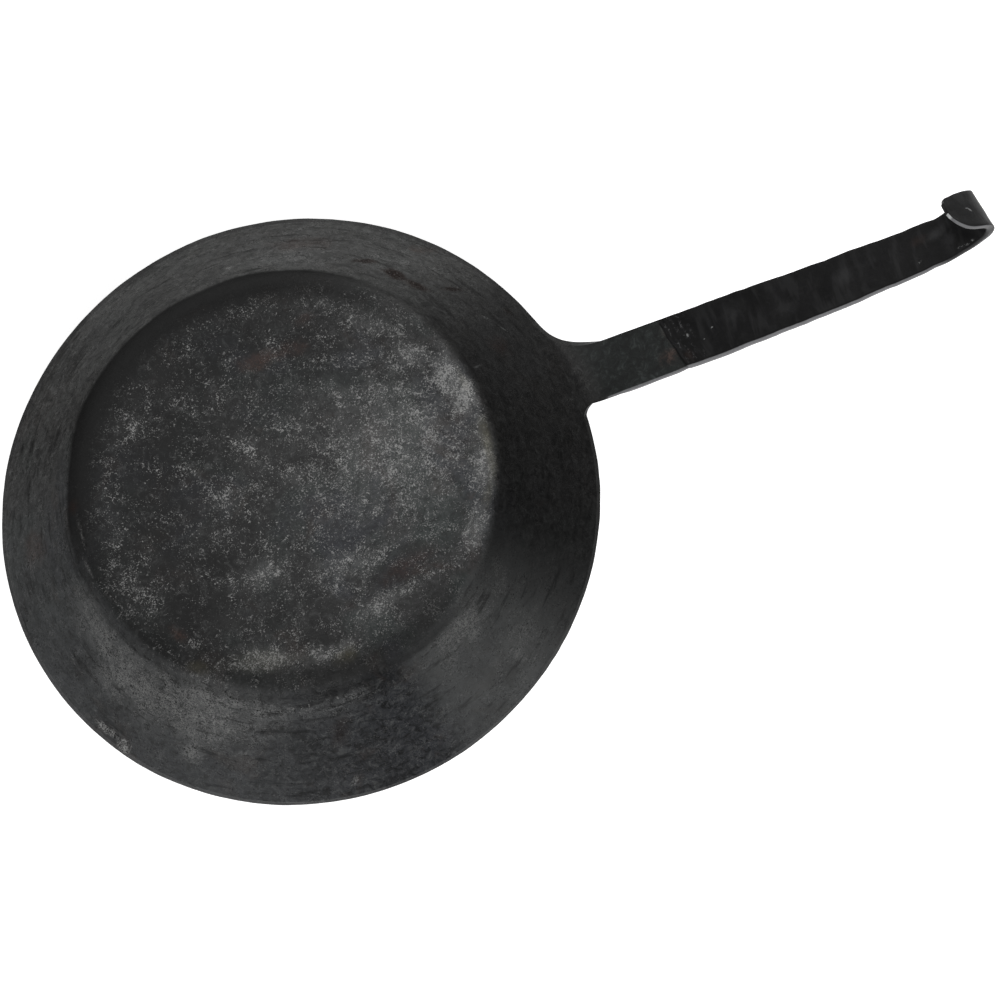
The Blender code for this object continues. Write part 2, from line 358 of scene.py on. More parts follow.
@dataclass(frozen=True)
class CookingFace:
    """Seasoned inner face of the bowl: black-grey iron, scoured on the floor, stained and pitted here and there, with
    painted shade in its foot bend, over one side of its floor, beside the handle and on its lip, and painted light and
    glints on its walls.

    Its stains and painted glints are kept by the bowl's mesh, and how ragged they are is set for each kind where the
    material reads them.
    """

    iron: Colour = (0.033, 0.033, 0.033, 1.0)
    green_iron: Colour = (0.032, 0.037, 0.036, 1.0)
    blue_iron: Colour = (0.033, 0.035, 0.040, 1.0)
    brown_iron: Colour = (0.042, 0.033, 0.030, 1.0)
    warm_iron: Colour = (0.036, 0.034, 0.0325, 1.0)
    worn_iron: Colour = (0.150, 0.151, 0.152, 1.0)
    rust: Colour = (0.075, 0.034, 0.024, 1.0)
    scar_brown: Colour = (0.026, 0.016, 0.013, 1.0)
    soot: Colour = (0.004, 0.004, 0.004, 1.0)
    oil: Colour = (0.085, 0.077, 0.045, 1.0)
    # Grey of scoured metal, also used as painted light on the lit walls and in the painted glints.
    scoured_and_lit: Colour = (0.105, 0.107, 0.106, 1.0)
    bright: Colour = (0.31, 0.31, 0.305, 1.0)
    # Near-black used for the painted shade on the wall beside the handle.
    root: Colour = (0.0030, 0.0031, 0.0031, 1.0)
    tang: Colour = (0.0070, 0.0088, 0.0084, 1.0)
    # Grey of rubbed metal, also used as painted light on the lower side faces of the tang and bar.
    rubbed_and_lit: Colour = (0.135, 0.135, 0.140, 1.0)

    floor_edge: tuple[float, float] = (0.1125, 0.1075)
    tang_from: tuple[float, float] = (0.1540, 0.1650)
    lip_edge: tuple[float, float] = (0.1478, 0.1486)
    relief_depth: float = 0.00024
    shine: float = 0.23

    polished: tuple[Patch, ...] = (
        Patch(54, -4, 74, 60, -15, 0.62, 1.0),
        Patch(90, 30, 18, 14, -50, 0.70, 1.0),
        Patch(78, 57, 26, 10, -50, 0.75, 1.0),
        Patch(58, 78, 24, 9, -30, 0.60, 1.0),
        Patch(100, 6, 13, 32, 5, 1.00, 0.8),
        Patch(97, -40, 12, 26, -25, 1.00, 0.8),
        Patch(80, -68, 10, 26, -48, 0.75, 0.9),
        Patch(-30, 9, 16, 12, 20, 0.62, 1.0),
        Patch(9, 3, 16, 8, 8, 0.75, 1.0),
        Patch(-8, 24, 10, 30, 20, 0.50, 1.0),
        Patch(-36, -36, 26, 12, -8, 0.75, 1.0),
        Patch(4, -54, 30, 13, -6, 0.70, 1.0),
        Patch(16, -81, 24, 9, 4, 0.75, 1.0),
        Patch(-52, -78, 30, 10, -26, 0.95, 0.9),
        Patch(-20, -91, 24, 8, -12, 0.85, 0.9),
        Patch(-57, 64, 24, 12, 20, 0.55, 1.0),
        Patch(-28, 64, 10, 8, 0, 0.50, 1.0),
        Patch(-88, 30, 12, 26, -10, 0.40, 1.0),
        Patch(-96, -14, 12, 34, 8, 0.45, 1.0),
        Patch(28, 92, 40, 8, -10, 0.45, 1.0),
    )
    worn_wall: tuple[Patch, ...] = (
        Patch(-119, -14, 38, 11, 94, 0.85, 0.9),
        Patch(-112, -50, 44, 17, 116, 1.00, 0.8),
        Patch(-91, -80, 36, 19, 136, 1.00, 0.8),
        Patch(-68, -97, 30, 14, 152, 0.70, 1.0),
        Patch(-104, -88, 10, 6, 140, 0.75, 0.9),
        Patch(-28, -112, 34, 9, -12, 0.40, 1.0),
    )
    # Painted highlights: bright patches where the lights glint on the walls and at the foot bend, kept by the mesh like
    # the stains.
    painted_glint: tuple[Patch, ...] = (
        Patch(50, -107, 32, 7.5, 24, 1.00, 0.9),
        Patch(76, -93, 22, 6, 42, 0.65, 1.0),
        Patch(70, -118, 26, 10, 30, 0.45, 1.0),
        Patch(52, 112, 46, 14, -28, 0.40, 1.0),
        Patch(96, 92, 30, 12, -44, 0.35, 1.0),
    )
    scars: tuple[Patch, ...] = (
        Patch(97.0, 79.0, 9.0, 3.4, -58.0, 1.0, 0.8),
        Patch(104.0, 69.0, 9.0, 3.0, -52.0, 1.0, 0.8),
        Patch(118.0, 62.5, 6.0, 2.2, -20.0, 0.9, 0.8),
        Patch(86.0, 93.0, 9.0, 2.4, -25.0, 0.8, 0.8),
        Patch(136.0, 44.0, 5.0, 1.8, -60.0, 0.9, 0.8),
        Patch(-34.0, -122.0, 10.0, 5.0, 12.0, 0.5, 1.0),
    )
    tang_marks: tuple[Patch, ...] = (
        Patch(186.0, 3.0, 1.8, 0.8, 60.0, 0.9, 0.8),
        Patch(188.5, 7.5, 3.0, 1.1, 40.0, 0.9, 0.8),
        Patch(194.0, 6.0, 1.6, 0.8, 20.0, 0.8, 0.8),
        Patch(184.0, -2.0, 1.6, 0.7, 80.0, 0.8, 0.8),
        Patch(190.0, -1.0, 2.2, 0.7, 70.0, 0.7, 0.8),
        Patch(180.0, -4.0, 3.0, 1.0, 50.0, 0.6, 0.8),
        Patch(204.0, 2.0, 2.5, 8.0, 10.0, 0.8, 0.9),
    )
    tang_rust: tuple[Patch, ...] = (
        Patch(196.0, -5.0, 9.0, 5.0, 5.0, 0.60, 1.0),
        Patch(200.0, 3.0, 4.0, 8.0, 10.0, 0.35, 1.0),
    )
    nicks: tuple[Patch, ...] = (
        Patch(127.0, 41.0, 3.0, 0.7, -55.0, 0.9, 0.8),
        Patch(132.0, 33.0, 4.0, 0.6, -60.0, 0.7, 0.8),
        Patch(115.0, 12.0, 3.0, 0.8, 20.0, 0.7, 0.8),
        Patch(154.0, -6.0, 2.0, 0.7, -60.0, 0.5, 0.8),
    )
    dulled: tuple[Patch, ...] = (
        Patch(-44, 46, 34, 26, 25, 0.70, 1.0),
        Patch(-66, 20, 22, 24, 0, 0.62, 1.0),
        Patch(-76, -34, 26, 18, 60, 0.50, 1.0),
        Patch(-34, -58, 26, 10, 10, 0.40, 1.0),
        Patch(36, -70, 26, 11, 12, 0.60, 1.0),
        Patch(-12, 76, 22, 12, 0, 0.40, 1.0),
        Patch(0, -115, 30, 6, 2, 0.85, 1.0),
        Patch(20, -121, 20, 4, 14, 0.60, 1.0),
    )
    rusty: tuple[Patch, ...] = (
        Patch(-101, 43, 5, 3.5, 70, 0.9, 1.0),
        Patch(-85, -45, 4, 8, 20, 0.55, 1.0),
        Patch(22, 65, 22, 7, -8, 0.45, 1.0),
        Patch(48, 74, 8, 4, 0, 0.30, 1.0),
        Patch(38, -68, 22, 8, 12, 0.30, 1.0),
        Patch(0, 103, 14, 3, 0, 0.35, 1.0),
        Patch(-126, 44, 12, 8, 70, 0.25, 1.0),
        Patch(127, 22, 5, 9, 20, 0.45, 1.0),
        Patch(112, 92, 10, 4, -30, 0.30, 1.0),
        Patch(60, 118, 20, 6, -20, 0.20, 1.0),
    )
    oiled: tuple[Patch, ...] = (
        Patch(103, -30, 4, 24, -14, 0.75, 1.0),
        Patch(92, -54, 4, 16, -35, 0.45, 1.0),
        Patch(-12, -97, 10, 7, 0, 0.80, 1.0),
        Patch(-84, -64, 10, 5, -40, 0.60, 1.0),
        Patch(-52, -79, 30, 9, -26, 0.28, 1.0),
        Patch(106, 8, 3, 14, 0, 0.30, 1.0),
    )
    scabs: tuple[Patch, ...] = (
        Patch(-104, 27, 12, 1.5, 76, 0.95, 0.8),
        Patch(-109, 10, 8, 1.2, 88, 0.60, 0.8),
        Patch(-137.0, -50.0, 11, 2.0, 112, 1.00, 0.5),
        Patch(-133.5, -61.5, 5, 3.0, 120, 1.00, 0.5),
        Patch(-39, -138, 5, 1.5, 10, 0.60, 0.8),
        Patch(24, 120, 2.5, 1.6, 0, 0.80, 0.6),
        Patch(-50, -105.5, 0.8, 0.8, 0, 1.00, 0.5),
        Patch(-46, -106.8, 0.7, 0.7, 0, 0.90, 0.5),
        Patch(-42, -108.0, 0.8, 0.8, 0, 1.00, 0.5),
        Patch(-27, -112.0, 0.9, 0.9, 0, 1.00, 0.5),
        Patch(-33, -105.0, 0.8, 0.8, 0, 0.80, 0.5),
    )

    def stains(self) -> dict[str, tuple[Patch, ...]]:
        """The places that the bowl's mesh keeps as attributes, by name."""
        scoured_and_lit = ("polished", "worn_wall", "painted_glint", "nicks")
        stained = ("dulled", "rusty", "oiled", "scabs", "scars", "tang_marks", "tang_rust")
        return {name: getattr(self, name) for name in scoured_and_lit + stained}

    def ring(self, b: Bench) -> Signal:
        """Dark band in the foot bend, crisp against the wall and soft towards the floor: partly seasoning left in the
        crease and partly painted shade of the crease.

        Args:
            b: The material's bench.

        Returns:
            The ring's mask, weak on the handle's side.
        """
        wobble = (b.grain(14.0, 2.0, 0.5) - 0.5) * 0.010
        reach = b.radius + wobble
        band = reach.rise(0.0920, 0.1060) * reach.rise(0.1150, 0.1125)
        # Painted shade: how dark the crease is depends on its side of the pan.
        away = b.side(108.0).rise(-0.10, 0.80) * 1.00
        below = b.side(212.0).rise(0.55, 0.95) * 0.34
        foot = b.side(272.0).rise(0.80, 0.98) * 0.60
        return band * away.most(below).most(foot)

    @staticmethod
    def hammered_edge(b: Bench) -> Signal:
        """Bright strip where the tang's lower edge is hammered down: rubbed metal, with painted light for the light
        that this lower face catches.
        """
        _, past, share, _ = b.noted(PanBowl.sheet_note)
        return past.rise(0.0165, 0.0190) * share.rise(0.040, 0.026)

    def dress(self) -> bpy.types.Material:
        """Build the material.

        Returns:
            The material of the bowl's inner face.
        """
        b = Bench("seasoned_cooking_face")
        edge = (b.grain(60.0, 4.0, 0.7) - 0.5) * 2.0
        cloud = b.grain(26.0, 4.0, 0.65, 0.3)
        mottle = b.grain(110.0, 4.0, 0.7, 0.6)
        grit = b.grain(560.0, 3.0, 0.75, 1.6)
        dust = b.grain(1300.0, 2.0, 0.7, 0.8)
        streak = b.grain(1.0, 3.0, 0.65, 0.2, b.swirl(5.0, 420.0))
        fine = b.grain(230.0, 5.0, 0.75, 0.9)
        floor_share = b.radius.rise(*self.floor_edge)
        wall_share = 1.0 - floor_share
        on_tang = b.radius.rise(*self.tang_from)
        polish = b.stain("polished", edge, 0.75) * floor_share
        worn = b.stain("worn_wall", edge, 0.45)
        # Mask of the painted highlights on the walls and foot bend.
        painted_glint = b.stain("painted_glint", edge, 0.55)
        dull = b.stain("dulled", edge, 0.65)
        scab = b.stain("scabs", edge, 1.2)

        tint = b.mix(b.grain(21.0, 3.0, 0.6).rise(0.44, 0.60), self.iron, self.green_iron)
        blue = b.grain(17.0, 3.0, 0.6, 0.3).rise(0.50, 0.62)
        tint = b.mix(blue.most(wall_share * b.side(235.0).rise(-0.2, 0.8) * 0.8), tint, self.blue_iron)
        tint = b.mix(b.grain(33.0, 4.0, 0.65, 0.6).rise(0.55, 0.68) * 0.7, tint, self.brown_iron)
        spread = polish.most(worn * 0.9).most(painted_glint)
        tint = b.mix(wall_share * b.side(55.0).rise(-0.5, 0.4) * 0.75, tint, self.warm_iron)
        tone = b.mix((spread * (0.30 + mottle * 1.1) + worn * 0.35).least(1.0), tint, self.scoured_and_lit)
        tone = b.mix(worn * (0.25 + mottle * 0.5), tone, self.worn_iron)
        # Painted shade: the floor darkens towards bearing 140; the mix below adds random cloudy tone and the dulled
        # stains to it.
        lee_shade = b.toward(140.0).rise(-0.095, 0.085) * floor_share
        shade_and_dulling = lee_shade * (0.50 + cloud * 0.45) + cloud.rise(0.52, 0.32) * 0.40 + dull * 0.70
        tone = b.mix(shade_and_dulling.least(0.86), tone, self.soot)
        tone = b.mix(fine.rise(0.52, 0.36) * (0.42 + wall_share * 0.46), tone, self.soot)
        tone = b.mix(fine.rise(0.50, 0.68) * (0.28 + wall_share * 0.28), tone, self.scoured_and_lit)
        # Painted light: the walls near bearings 70 and 196 are lightened as if lit, and a narrow streak near bearing
        # 299 is a painted highlight.
        lit_walls = b.side(70.0).rise(0.2, 0.9) * 0.34 + b.side(196.0).rise(0.3, 0.95) * 0.42
        lit_walls = lit_walls + b.side(299.0).rise(0.88, 0.98) * 0.80
        tone = b.mix(lit_walls * wall_share * (0.3 + cloud * 1.2), tone, self.scoured_and_lit)

        speckle = grit * 0.58 + dust * 0.42
        level = 0.585 - spread * 0.075 - cloud * 0.04 + dull * 0.015 + lee_shade * 0.016
        flecks = ((speckle + (mottle - 0.5) * 0.34 - level) * 15.0).most(0.0).least(1.0)
        flecks = flecks * (floor_share * 0.75 + worn * 0.65 + painted_glint * 0.5 + 0.30).least(1.0)
        flecks = flecks * (1.0 - on_tang * 0.85)
        tone = b.mix(flecks * 0.85, tone, self.bright)
        pits = (speckle - (mottle - 0.5) * 0.2).rise(0.445, 0.375) * (0.45 + worn * 0.55 + wall_share * 0.25)
        tone = b.mix(pits.least(1.0), tone, self.soot)
        tone = b.mix((streak.rise(0.46, 0.30) * wall_share) * 0.55, tone, self.soot)
        tone = b.mix((streak.rise(0.56, 0.72) * wall_share) * 0.22, tone, self.scoured_and_lit)

        crumb = grit.rise(0.40, 0.60)
        tone = b.mix(b.stain("oiled", edge, 0.8) * (0.35 + crumb * 0.5), tone, self.oil)
        tone = b.mix(b.stain("rusty", edge, 1.1) * (0.35 + crumb * 0.65), tone, self.rust)
        scar = b.stain("scars", edge, 1.0)
        tone = b.mix((scar * (0.55 + fine * 0.6)).least(1.0), tone, self.scar_brown)
        tone = b.mix(scar * grit.rise(0.50, 0.38), tone, self.soot)
        tone = b.mix(scar * speckle.rise(0.57, 0.64) * 0.5, tone, self.bright)
        tone = b.mix(scab * crumb, tone, self.bright)
        tone = b.mix(scab * (1.0 - crumb) * 0.8, tone, self.soot)
        # Seasoning and painted shade in the foot bend.
        ring = self.ring(b)
        tone = b.mix(ring * 0.93, tone, self.soot)
        # Painted shade: the wall beside the handle, near bearing -14, is darkened almost to black.
        shaded_side = b.side(-14.0).rise(0.62, 0.92) * wall_share
        tone = b.mix(shaded_side * 0.74, tone, self.root)
        tone = b.mix(on_tang * 0.85, tone, self.tang)
        tone = b.mix(on_tang * fine.rise(0.52, 0.36) * 0.75, tone, self.soot)
        tone = b.mix(on_tang * fine.rise(0.50, 0.66) * 0.55, tone, self.green_iron)
        tone = b.mix(on_tang * b.stain("tang_rust", edge, 0.8) * fine.rise(0.40, 0.62) * 0.6, tone, self.rust)
        tone = b.mix(b.stain("tang_marks", edge, 1.0), tone, self.soot)
        tone = b.mix(b.stain("nicks", edge, 0.9) * crumb, tone, self.scoured_and_lit)
        # Painted shade: the lip at the rim is darkened to a thin dark line.
        _, past, _, _ = b.noted(PanBowl.sheet_note)
        tone = b.mix(b.radius.rise(*self.lip_edge) * past.rise(0.0, -0.5) * 0.55, tone, self.soot)
        # Rubbed metal and painted light on the tang's hammered-down lower edge.
        tone = b.mix(self.hammered_edge(b) * (0.4 + fine * 0.7).least(1.0), tone, self.rubbed_and_lit)

        rough = 0.46 + mottle * 0.14 + fine * 0.10 - spread * 0.06 + pits * 0.2 + ring * 0.10
        relief = speckle * 1.0 + mottle * 0.7 + fine * 1.0 + (scab * grit) * 3.0 - scar * crumb * 1.5
        normal = b.bump(relief, self.relief_depth)
        return b.surface(
            {"Specular IOR Level": self.shine},
            {
                "Base Color": tone,
                "Roughness": rough,
                "Metallic": flecks * 0.6 + polish * 0.15,
                "Normal": normal,
            },
        )


@dataclass(frozen=True)
class SootedFace:
    """Outer face of the bowl: matt black from the fire, greyer on the foot where it drags on the hob."""

    soot: Colour = (0.016, 0.016, 0.017, 1.0)
    grey: Colour = (0.045, 0.045, 0.047, 1.0)
    brown: Colour = (0.040, 0.028, 0.022, 1.0)
    lip: Colour = (0.004, 0.004, 0.004, 1.0)
    foot_edge: tuple[float, float] = (0.107, 0.102)
    lip_edge: tuple[float, float] = (0.1470, 0.1482)
    relief_depth: float = 0.00014
    shine: float = 0.22

    def dress(self) -> bpy.types.Material:
        """Build the material.

        Returns:
            The material of the bowl's outer face.
        """
        b = Bench("sooted_outer_face")
        mottle = b.grain(60.0, 5.0, 0.7, 0.5)
        grit = b.grain(600.0, 3.0, 0.7, 0.8)
        foot = b.radius.rise(*self.foot_edge) * b.grain(40.0, 4.0, 0.7).rise(0.35, 0.65)
        tone = b.mix(mottle.rise(0.40, 0.70), self.soot, self.grey)
        tone = b.mix(b.grain(24.0, 3.0, 0.6, 0.4).rise(0.55, 0.72) * 0.4, tone, self.brown)
        tone = b.mix(foot * 0.8, tone, self.grey)
        tone = b.mix(b.radius.rise(*self.lip_edge) * 0.92, tone, self.lip)
        # Rubbed metal and painted light on the tang's hammered-down lower edge.
        tone = b.mix(CookingFace.hammered_edge(b) * 0.8, tone, CookingFace.rubbed_and_lit)
        rough = 0.56 + mottle * 0.2 - foot * 0.12
        normal = b.bump(grit * 0.6 + mottle * 1.2, self.relief_depth)
        return b.surface(
            {"Specular IOR Level": self.shine},
            {"Base Color": tone, "Roughness": rough, "Metallic": foot * 0.4, "Normal": normal},
        )


@dataclass(frozen=True)
class ForgeBlack:
    """Handle bar: black forge scale with a satin hammered skin, rubbed bright along its lower edge, where painted light
    also stands for the light that its lower side face catches.

    Its marks are placed along the bar: x is the distance past the rim and y the distance across, in mm.
    """

    scale: Colour = (0.0026, 0.0026, 0.0028, 1.0)
    worn: Colour = (0.0100, 0.0100, 0.0104, 1.0)
    brown: Colour = (0.0200, 0.0120, 0.0100, 1.0)
    olive: Colour = (0.0420, 0.0500, 0.0240, 1.0)
    # Grey of rubbed metal, also used as painted light on the bar's lower side face.
    rubbed_and_lit: Colour = (0.135, 0.135, 0.140, 1.0)
    bright: Colour = (0.42, 0.43, 0.43, 1.0)
    edge_at: float = -0.0123
    weld_start: tuple[float, float] = (0.0575, 0.0590)
    weld_end: tuple[float, float] = (0.0735, 0.0690)
    relief_depth: float = 0.00016
    shine: float = 0.15

    dings: tuple[Patch, ...] = (
        Patch(67.5, 1.6, 1.3, 0.8, 70, 1.0, 0.8, 0.8),
        Patch(80.0, 1.1, 0.9, 0.5, 20, 0.9, 0.8, 0.8),
        Patch(74.0, -3.0, 0.7, 0.4, 20, 0.5, 0.8, 0.8),
    )
    comma: tuple[Patch, ...] = (
        Patch(236.8, -1.5, 2.0, 0.7, 60, 0.8, 0.7, 0.5),
        Patch(238.0, -0.2, 1.2, 0.6, 10, 0.8, 0.7, 0.5),
    )
    soft_spots: tuple[Patch, ...] = (
        Patch(199.0, 5.0, 8.0, 5.0, 20, 0.40, 1.0, 0.4),
        Patch(204.0, -2.0, 5.0, 7.0, 0, 0.25, 1.0, 0.6),
        Patch(150.0, 2.0, 9.0, 6.0, 0, 0.18, 1.0, 0.6),
        Patch(118.0, -3.0, 9.0, 6.0, 0, 0.16, 1.0, 0.6),
        Patch(92.0, 4.0, 8.0, 5.0, 0, 0.15, 1.0, 0.6),
    )
    flecks: tuple[Patch, ...] = (
        Patch(212.0, -10.6, 3.5, 1.3, 0, 0.5, 0.9, 1.2),
        Patch(208.0, -9.5, 2.5, 0.9, 0, 0.6, 0.9, 1.2),
        Patch(186.0, -7.0, 2.0, 0.8, 30, 0.5, 0.9, 1.2),
    )
    reddish: tuple[Patch, ...] = (
        Patch(190.0, 5.0, 7.0, 4.0, 10, 0.5, 1.0, 0.8),
        Patch(62.0, -8.0, 5.0, 4.0, 10, 0.5, 1.0, 0.8),
    )
    fold: tuple[Patch, ...] = (Patch(225.0, 4.0, 5.0, 10.0, 0, 0.9, 1.0, 0.5),)
    nick: tuple[Patch, ...] = (Patch(249.5, -13.4, 1.2, 3.0, 0, 1.0, 0.6, 0.2),)

    @staticmethod
    def weld_lines(b: Bench, spot: Signal) -> Signal:
        """Wavy lines across the bar.

        Args:
            b: The material's bench.
            spot: The place along and across the bar.

        Returns:
            The lines, from 0 to 1.
        """
        inputs = {"Vector": spot, "Scale": 96.0, "Distortion": 9.0}
        inputs.update({"Detail": 4.0, "Detail Scale": 3.0, "Detail Roughness": 0.75})
        node = b.node("ShaderNodeTexWave", {"wave_type": "BANDS", "bands_direction": "X"}, inputs)
        return Signal(b, node.outputs["Fac"])

    def dress(self) -> bpy.types.Material:
        """Build the material.

        Returns:
            The material of the handle's bar.
        """
        b = Bench("forge_black_bar")
        spot, past, across, depth = b.noted(HandleBar.bar_note)
        b.plan = b.vector("MULTIPLY", spot, (1.0, 1.0, 0.0))
        ragged = (b.grain(260.0, 3.0, 0.7) - 0.5) * 2.0
        mottle = b.grain(90.0, 4.0, 0.65, 0.5)
        grit = b.grain(700.0, 3.0, 0.7, 0.6)
        fine = b.grain(260.0, 5.0, 0.75, 0.8)
        blows = b.grain(1.0, 3.0, 0.6, 0.3, b.vector("MULTIPLY", spot, (150.0, 38.0, 60.0)))

        tone = b.mix(mottle.rise(0.35, 0.75) * 0.5 + fine.rise(0.50, 0.72) * 0.5, self.scale, self.worn)
        tone = b.mix(blows.rise(0.50, 0.64), tone, self.worn)
        tone = b.mix(b.patches(self.reddish, ragged) * (0.3 + fine), tone, self.brown)
        tone = b.mix(b.patches(self.fold, ragged) * 0.8, tone, self.olive)
        weld = past.rise(*self.weld_end) * past.rise(*self.weld_start)
        lines = self.weld_lines(b, spot)
        broken = fine.rise(0.50, 0.64)
        tone = b.mix(weld * lines.rise(0.72, 0.97) * broken * 0.32, tone, self.rubbed_and_lit)
        under = depth.rise(-0.0030, -0.0045)
        marks = (b.patches(self.dings, ragged * 0.4) * (1.0 - under)).most(b.patches(self.comma, ragged * 0.4) * under)
        tone = b.mix(marks * 0.42, tone, self.bright)
        tone = b.mix(b.patches(self.soft_spots, ragged) * (0.16 + fine * 0.30), tone, self.rubbed_and_lit)
        tone = b.mix(b.patches(self.flecks, ragged) * grit.rise(0.52, 0.62) * 0.8, tone, self.bright)
        # Painted light and rubbed metal: the bar's lower side face is painted light grey, less so round the hook.
        side = across.rise(self.edge_at, self.edge_at - 0.0004) * depth.rise(-0.0060, -0.0052)
        side = side * (1.0 - past.rise(0.190, 0.203) * past.rise(0.236, 0.224) * 0.85)
        arris = across.rise(self.edge_at + 0.0012, self.edge_at + 0.0004) * (1.0 - side)
        tone = b.mix(arris * 0.7, tone, self.scale)
        nick = b.patches(self.nick, ragged * 0.3)
        tone = b.mix(side * (0.50 + fine * 0.7).least(1.0), tone, self.rubbed_and_lit)
        tone = b.mix(side * nick, tone, self.bright)
        rough = 0.38 + mottle * 0.12 + fine * 0.12
        normal = b.bump(grit * 0.5 + mottle * 0.9 + fine * 0.8 + blows * 2.2 - marks * 2.0, self.relief_depth)
        return b.surface(
            {"Specular IOR Level": self.shine},
            {"Base Color": tone, "Roughness": rough, "Metallic": side * 0.35 + marks * 0.5, "Normal": normal},
        )


# ---------------------------------------------------------------------------------------------------------------
# Modelling tools
# ---------------------------------------------------------------------------------------------------------------


def spot_reach(spot: Patch, place: Vector) -> float:
    """Distance of a point from the middle of a spot in plan, as a share of the spot's size."""
    turn = math.radians(spot.turn)
    x, y = place.x * MM - spot.x, place.y * MM - spot.y
    ahead = x * math.cos(turn) + y * math.sin(turn)
    aside = y * math.cos(turn) - x * math.sin(turn)
    return math.hypot(ahead / spot.long, aside / spot.wide)


class Kind(Enum):
    """What an edit-mode selection picks."""

    EDGES = "EDGE"
    FACES = "FACE"


class Workpiece:
    """A mesh object on the anvil: selections by place, and the operators that work on them."""

    def __init__(self, name: str) -> None:
        """Takes the active object, a primitive that was just added, and opens it in edit mode."""
        self.obj = bpy.context.object
        self.obj.name = name
        self.obj.data.name = name
        bpy.ops.object.mode_set(mode="EDIT")

    @staticmethod
    def clear_selection() -> None:
        """Deselects every object, so that an operator acts on the new piece only."""
        if bpy.context.object and bpy.context.object.mode != "OBJECT":
            bpy.ops.object.mode_set(mode="OBJECT")
        bpy.ops.object.select_all(action="DESELECT")

    def select(self, kind: Kind, test: Callable[[object], bool]) -> None:
        """Select the elements that pass a test, and nothing else.

        Args:
            kind: Whether edges or faces are tested.
            test: Takes a bmesh element and says whether it is picked.
        """
        bpy.ops.mesh.select_mode(type=kind.value)
        bpy.ops.mesh.select_all(action="DESELECT")
        mesh = bmesh.from_edit_mesh(self.obj.data)
        elements = mesh.edges if kind is Kind.EDGES else mesh.faces
        for element in [element for element in elements if test(element)]:
            element.select_set(True)
        mesh.select_flush_mode()
        bmesh.update_edit_mesh(self.obj.data)

    def move_all(self, place: Callable[[Vector], Vector], note: str, keep: Callable[[Vector], Vector]) -> None:
        """Move every vertex to where a rule sends it, and keep a note of where it was.

        Args:
            place: Gives the new place of a point of the blank.
            note: Name of the vector attribute that keeps the note.
            keep: Gives the note of a point of the blank.
        """
        mesh = bmesh.from_edit_mesh(self.obj.data)
        layer = mesh.verts.layers.float_vector.new(note)
        for vert in mesh.verts:
            vert[layer] = keep(vert.co)
            vert.co = place(vert.co)
        mesh.normal_update()
        bmesh.update_edit_mesh(self.obj.data)

    def close(self) -> bpy.types.Object:
        """Goes back to object mode and gives the object."""
        bpy.ops.object.mode_set(mode="OBJECT")
        return self.obj

    @staticmethod
    def apply(obj: bpy.types.Object, name: str) -> None:
        """Applies one modifier of the object."""
        bpy.ops.object.select_all(action="DESELECT")
        obj.select_set(True)
        bpy.context.view_layer.objects.active = obj
        bpy.ops.object.modifier_apply(modifier=name)


@dataclass(frozen=True)
class Station:
    """The bar's place and directions at one distance from the rim."""

    centre: Vector
    along: Vector
    across: Vector
    up: Vector


